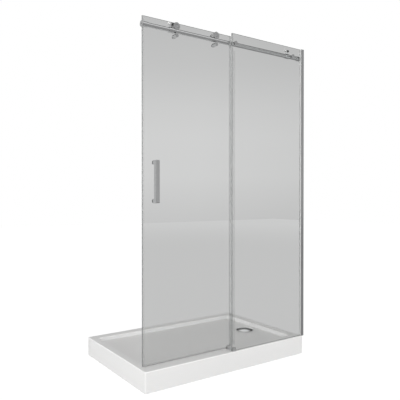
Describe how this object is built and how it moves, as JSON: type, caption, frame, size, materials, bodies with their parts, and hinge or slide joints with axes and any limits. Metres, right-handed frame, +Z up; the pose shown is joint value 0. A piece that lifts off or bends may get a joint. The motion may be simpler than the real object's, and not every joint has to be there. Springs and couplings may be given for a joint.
{
  "type": "shower enclosure",
  "caption": "Low rectangular shower tray with a fixed glass panel and a sliding glass door that hangs by rollers from a round rail between two walls.",
  "frame": {"origin": "on the floor, in the middle of the overall box", "axes": "+X along the front from the door's closing side to the fixed panel's wall, +Y from the front into the shower, +Z up"},
  "size_m": [1.212, 0.8, 2.0435],
  "materials": {
    "acrylic_white": "smooth white acrylic",
    "board": "raw particle board",
    "galvanised_steel": "galvanised",
    "stainless_steel": "stainless, satin",
    "chrome_trim": "polished chrome plating",
    "polished_aluminium": "polished and anodised",
    "glass_clear": "clear toughened glass",
    "clear_seal": "clear flexible vinyl",
    "rubber_black": "matte",
    "plastic_grey": "moulded grey plastic",
    "plastic_white": "moulded white nylon"
  },
  "bodies": {
    "enclosure": {"tray_shell": "acrylic_white", "base_board": "board", "frame_runners": "galvanised_steel", "frame_crossbars": "galvanised_steel", "leg_studs": "galvanised_steel", "leg_nuts": "galvanised_steel", "leg_pads": "rubber_black", "drain_gasket": "rubber_black", "drain_ring": "chrome_trim", "drain_body": "plastic_grey", "outlet_nut": "plastic_grey", "wall_profile": "polished_aluminium", "profile_cap": "polished_aluminium", "glazing_gaskets": "clear_seal", "fixed_glass": "glass_clear", "fixed_panel_seal": "clear_seal", "setting_strip": "clear_seal", "rail": "chrome_trim", "rail_bush_left": "chrome_trim", "rail_bush_right": "chrome_trim", "grub_screws": "stainless_steel", "rail_brackets": "chrome_trim", "bracket_caps": "chrome_trim", "bracket_bolts": "stainless_steel", "bracket_washers": "clear_seal", "stop_brackets": "chrome_trim", "stop_buffers": "rubber_black", "stop_end_caps": "plastic_white", "floor_guide": "chrome_trim", "guide_pads": "plastic_white", "guide_screws": "stainless_steel"},
    "door": {"door_glass": "glass_clear", "strike_seal": "clear_seal", "fin_seal": "clear_seal", "bottom_wiper": "clear_seal", "handle": "chrome_trim", "handle_gaskets": "clear_seal", "handle_knobs": "chrome_trim", "handle_bolts": "stainless_steel", "roller_axles": "stainless_steel", "roller_gaskets": "clear_seal", "roller_nuts": "chrome_trim", "guard_pins": "chrome_trim", "guard_posts": "chrome_trim", "guard_gaskets": "clear_seal", "guard_nuts": "chrome_trim"},
    "wheel_left": {"roller_tyre_left": "plastic_white", "roller_discs_left": "chrome_trim", "roller_bearing_left": "stainless_steel", "roller_cap_left": "plastic_grey"},
    "wheel_right": {"roller_tyre_right": "plastic_white", "roller_discs_right": "chrome_trim", "roller_bearing_right": "stainless_steel", "roller_cap_right": "plastic_grey"},
    "drain_lid": {"drain_cover": "chrome_trim", "hair_cup": "plastic_white"}
  },
  "joints": [
    {"name": "door_slide", "type": "slide", "parent": "enclosure", "child": "door", "axis": [1, 0, 0], "range_m": [0, 0.555]},
    {"name": "wheel_left_spin", "type": "hinge", "parent": "door", "child": "wheel_left", "pos_m": [-0.388, -0.36, 2.0128], "axis": [0, 1, 0], "continuous": true},
    {"name": "wheel_right_spin", "type": "hinge", "parent": "door", "child": "wheel_right", "pos_m": [-0.111, -0.36, 2.0128], "axis": [0, 1, 0], "continuous": true},
    {"name": "drain_lid_lift", "type": "slide", "parent": "enclosure", "child": "drain_lid", "axis": [0, 0, 1], "range_m": [0, 0.06]}
  ],
  "couplings": [
    {"joint": "wheel_left_spin", "follows": "door_slide", "rad_per_m": 76.923},
    {"joint": "wheel_right_spin", "follows": "door_slide", "rad_per_m": 76.923}
  ]
}
